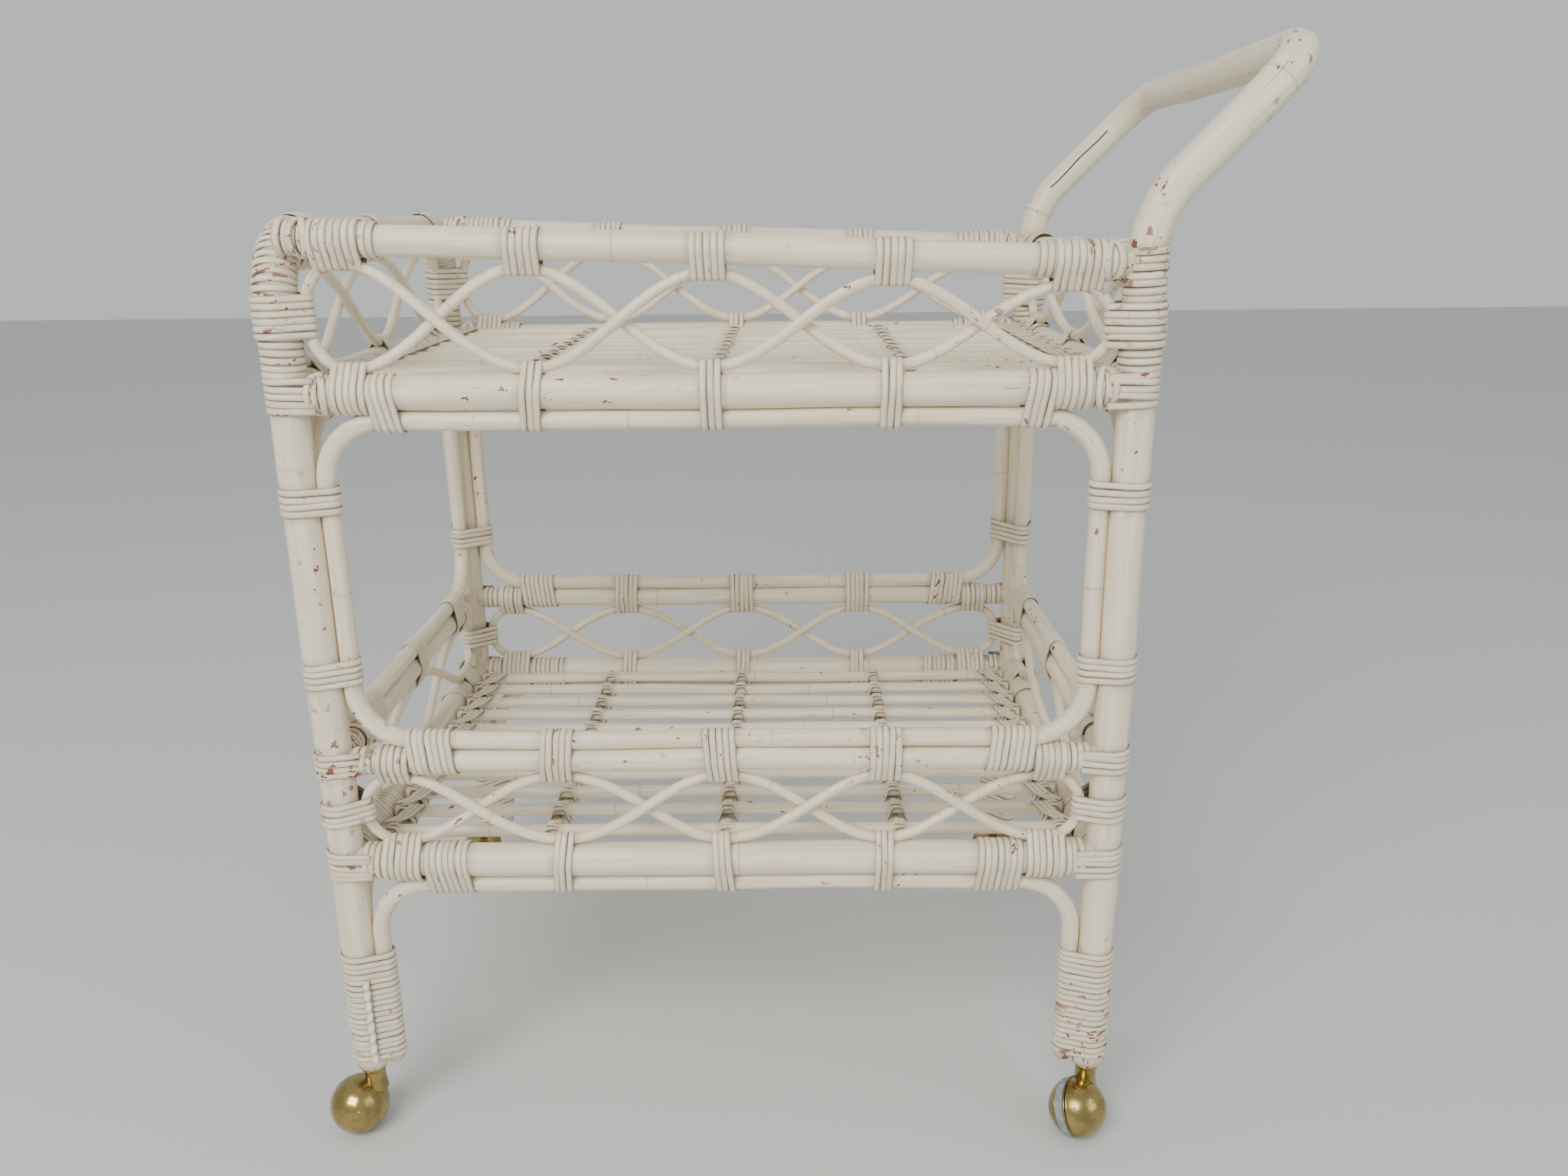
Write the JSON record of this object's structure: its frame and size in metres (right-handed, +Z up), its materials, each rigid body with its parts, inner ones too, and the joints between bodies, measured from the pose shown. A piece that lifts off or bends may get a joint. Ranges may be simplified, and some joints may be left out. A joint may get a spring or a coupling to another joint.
{
  "type": "rattan serving cart",
  "caption": "Two-tier bent-pole serving cart with a slatted tray and shelf, wave galleries, a raised push handle and swivelling ball casters.",
  "frame": {"origin": "on the floor, under the middle of the outer box", "axes": "+Z up, +X towards the handle end, -Y towards the front"},
  "size_m": [0.7926, 0.5159, 0.9029],
  "materials": {
    "painted_rattan": "cream brushed paint, satin, worn",
    "painted_cane": "cream brushed paint over split cane, worn",
    "brass": "aged satin brass",
    "steel": "zinc plated",
    "tread_rubber": "dull blue-grey rubber"
  },
  "bodies": {
    "frame": {"left_end_pole": "painted_rattan", "handle_pole": "painted_rattan", "top_rail_front": "painted_rattan", "top_rail_back": "painted_rattan", "top_rail_right": "painted_rattan", "tray_rail_front": "painted_rattan", "tray_rail_back": "painted_rattan", "tray_rail_left": "painted_rattan", "tray_rail_right": "painted_rattan", "gallery_rail_front": "painted_rattan", "gallery_rail_back": "painted_rattan", "gallery_rail_left": "painted_rattan", "gallery_rail_right": "painted_rattan", "shelf_rail_front": "painted_rattan", "shelf_rail_back": "painted_rattan", "shelf_rail_left": "painted_rattan", "shelf_rail_right": "painted_rattan", "brace_loop_front": "painted_rattan", "brace_loop_back": "painted_rattan", "brace_loop_left": "painted_rattan", "brace_loop_right": "painted_rattan", "leg_brace_front": "painted_rattan", "leg_brace_back": "painted_rattan", "leg_brace_left": "painted_rattan", "leg_brace_right": "painted_rattan", "upper_wave_front": "painted_rattan", "upper_wave_back": "painted_rattan", "upper_wave_left": "painted_rattan", "upper_wave_right": "painted_rattan", "lower_wave_front": "painted_rattan", "lower_wave_back": "painted_rattan", "lower_wave_left": "painted_rattan", "lower_wave_right": "painted_rattan", "tray_slats": "painted_rattan", "tray_rods": "painted_rattan", "shelf_slats": "painted_rattan", "shelf_rods": "painted_rattan", "post_wraps": "painted_cane", "rail_end_wraps": "painted_cane", "pole_ties": "painted_cane", "foot_bindings": "painted_cane", "slat_bindings": "painted_cane", "caster_sockets": "steel"},
    "swivel_front_left": {"caster_hood_front_left": "brass", "caster_pins_front_left": "steel"},
    "wheel_front_left": {"caster_wheel_front_left": "brass", "caster_tread_front_left": "tread_rubber"},
    "swivel_front_right": {"caster_hood_front_right": "brass", "caster_pins_front_right": "steel"},
    "wheel_front_right": {"caster_wheel_front_right": "brass", "caster_tread_front_right": "tread_rubber"},
    "swivel_back_left": {"caster_hood_back_left": "brass", "caster_pins_back_left": "steel"},
    "wheel_back_left": {"caster_wheel_back_left": "brass", "caster_tread_back_left": "tread_rubber"},
    "swivel_back_right": {"caster_hood_back_right": "brass", "caster_pins_back_right": "steel"},
    "wheel_back_right": {"caster_wheel_back_right": "brass", "caster_tread_back_right": "tread_rubber"}
  },
  "joints": [
    {"name": "swivel_front_left", "type": "hinge", "parent": "frame", "child": "swivel_front_left", "pos_m": [-0.35521, -0.22, 0.066], "axis": [0, 0, 1], "continuous": true},
    {"name": "roll_front_left", "type": "hinge", "parent": "swivel_front_left", "child": "wheel_front_left", "pos_m": [-0.37043, -0.22494, 0.0254], "axis": [0.2865, -0.8818, 0.3746], "continuous": true},
    {"name": "swivel_front_right", "type": "hinge", "parent": "frame", "child": "swivel_front_right", "pos_m": [0.27479, -0.22, 0.066], "axis": [0, 0, 1], "continuous": true},
    {"name": "roll_front_right", "type": "hinge", "parent": "swivel_front_right", "child": "wheel_front_right", "pos_m": [0.26631, -0.23357, 0.0254], "axis": [0.7863, -0.4913, 0.3746], "continuous": true},
    {"name": "swivel_back_left", "type": "hinge", "parent": "frame", "child": "swivel_back_left", "pos_m": [-0.35521, 0.22, 0.066], "axis": [0, 0, 1], "continuous": true},
    {"name": "roll_back_left", "type": "hinge", "parent": "swivel_back_left", "child": "wheel_back_left", "pos_m": [-0.37097, 0.22278, 0.0254], "axis": [-0.161, -0.9131, 0.3746], "continuous": true},
    {"name": "swivel_back_right", "type": "hinge", "parent": "frame", "child": "swivel_back_right", "pos_m": [0.27479, 0.22, 0.066], "axis": [0, 0, 1], "continuous": true},
    {"name": "roll_back_right", "type": "hinge", "parent": "swivel_back_right", "child": "wheel_back_right", "pos_m": [0.2645, 0.23226, 0.0254], "axis": [-0.7103, -0.596, 0.3746], "continuous": true}
  ]
}
